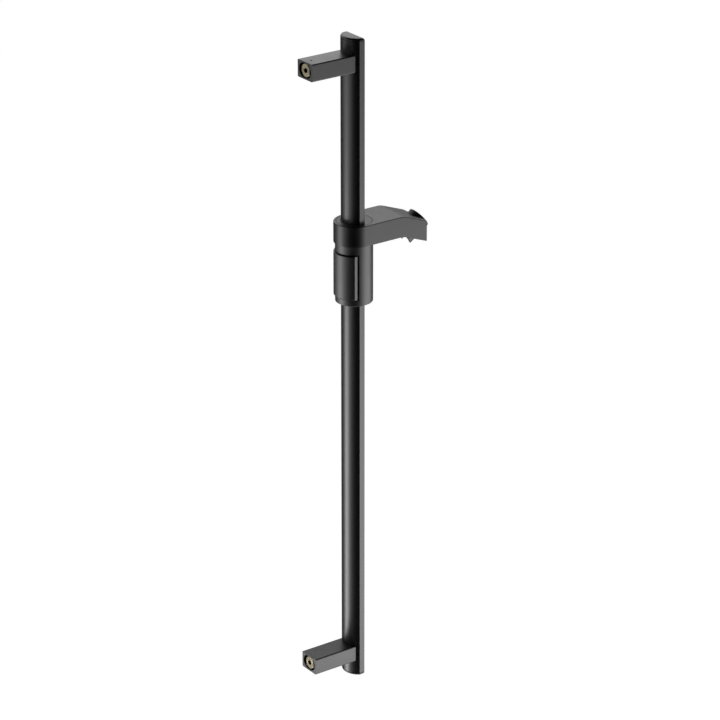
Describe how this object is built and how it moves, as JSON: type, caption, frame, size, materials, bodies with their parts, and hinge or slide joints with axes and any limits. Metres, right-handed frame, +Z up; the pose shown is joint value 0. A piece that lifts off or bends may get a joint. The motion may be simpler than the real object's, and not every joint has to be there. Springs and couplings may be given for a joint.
{
  "type": "shower slide rail",
  "caption": "Wall rail of D-shaped section on two square brackets, with a brake slider released by a rear panel and a swivelling arm with a slotted cone holder for a hand shower.",
  "frame": {"origin": "on the axis of the lower bracket's brass bush, in the plane of the wall", "axes": "+Z up along the rail, +Y into the wall, -Y towards the user, X to the side"},
  "size_m": [0.0534, 0.1855, 0.9],
  "materials": {
    "coated_aluminium": "satin black coated extrusion",
    "coated_zinc": "satin black coated casting",
    "moulded_black": "satin black moulding",
    "liner_black": "fine textured moulding",
    "turned_brass": "bare, turned",
    "steel": "plain stainless",
    "bush_black": "moulded acetal",
    "pad_rubber": "matt"
  },
  "bodies": {
    "rail": {"rail_tube": "coated_aluminium", "top_end_cap": "moulded_black", "bottom_end_cap": "moulded_black", "upper_bracket": "coated_zinc", "lower_bracket": "coated_zinc", "upper_wall_insert": "turned_brass", "lower_wall_insert": "turned_brass", "upper_grub_screw": "steel", "lower_grub_screw": "steel", "upper_bracket_bolt": "steel", "lower_bracket_bolt": "steel", "upper_bolt_washer": "steel", "lower_bolt_washer": "steel", "upper_nut_plate": "steel", "lower_nut_plate": "steel"},
    "slider": {"slider_body": "moulded_black", "upper_guide_bush": "bush_black", "lower_guide_bush": "bush_black", "swivel_washer": "bush_black", "swivel_snap_ring": "steel", "brake_spring": "steel"},
    "holder": {"holder_arm": "moulded_black", "cone_liner": "liner_black"},
    "release": {"release_button": "moulded_black", "brake_bar": "bush_black", "brake_pad": "pad_rubber"}
  },
  "joints": [
    {"name": "slider_travel", "type": "slide", "parent": "rail", "child": "slider", "axis": [0, 0, 1], "range_m": [-0.496, 0.201]},
    {"name": "holder_swivel", "type": "hinge", "parent": "slider", "child": "holder", "pos_m": [0, -0.0745, 0.605], "axis": [0, 0, 1], "range_deg": [-60, 60]},
    {"name": "panel_press", "type": "slide", "parent": "slider", "child": "release", "axis": [0, -1, 0], "range_m": [0, 0.002], "stiffness_N_per_m": 2500, "springref_m": -0.004, "deforming": ["brake_spring"]}
  ]
}
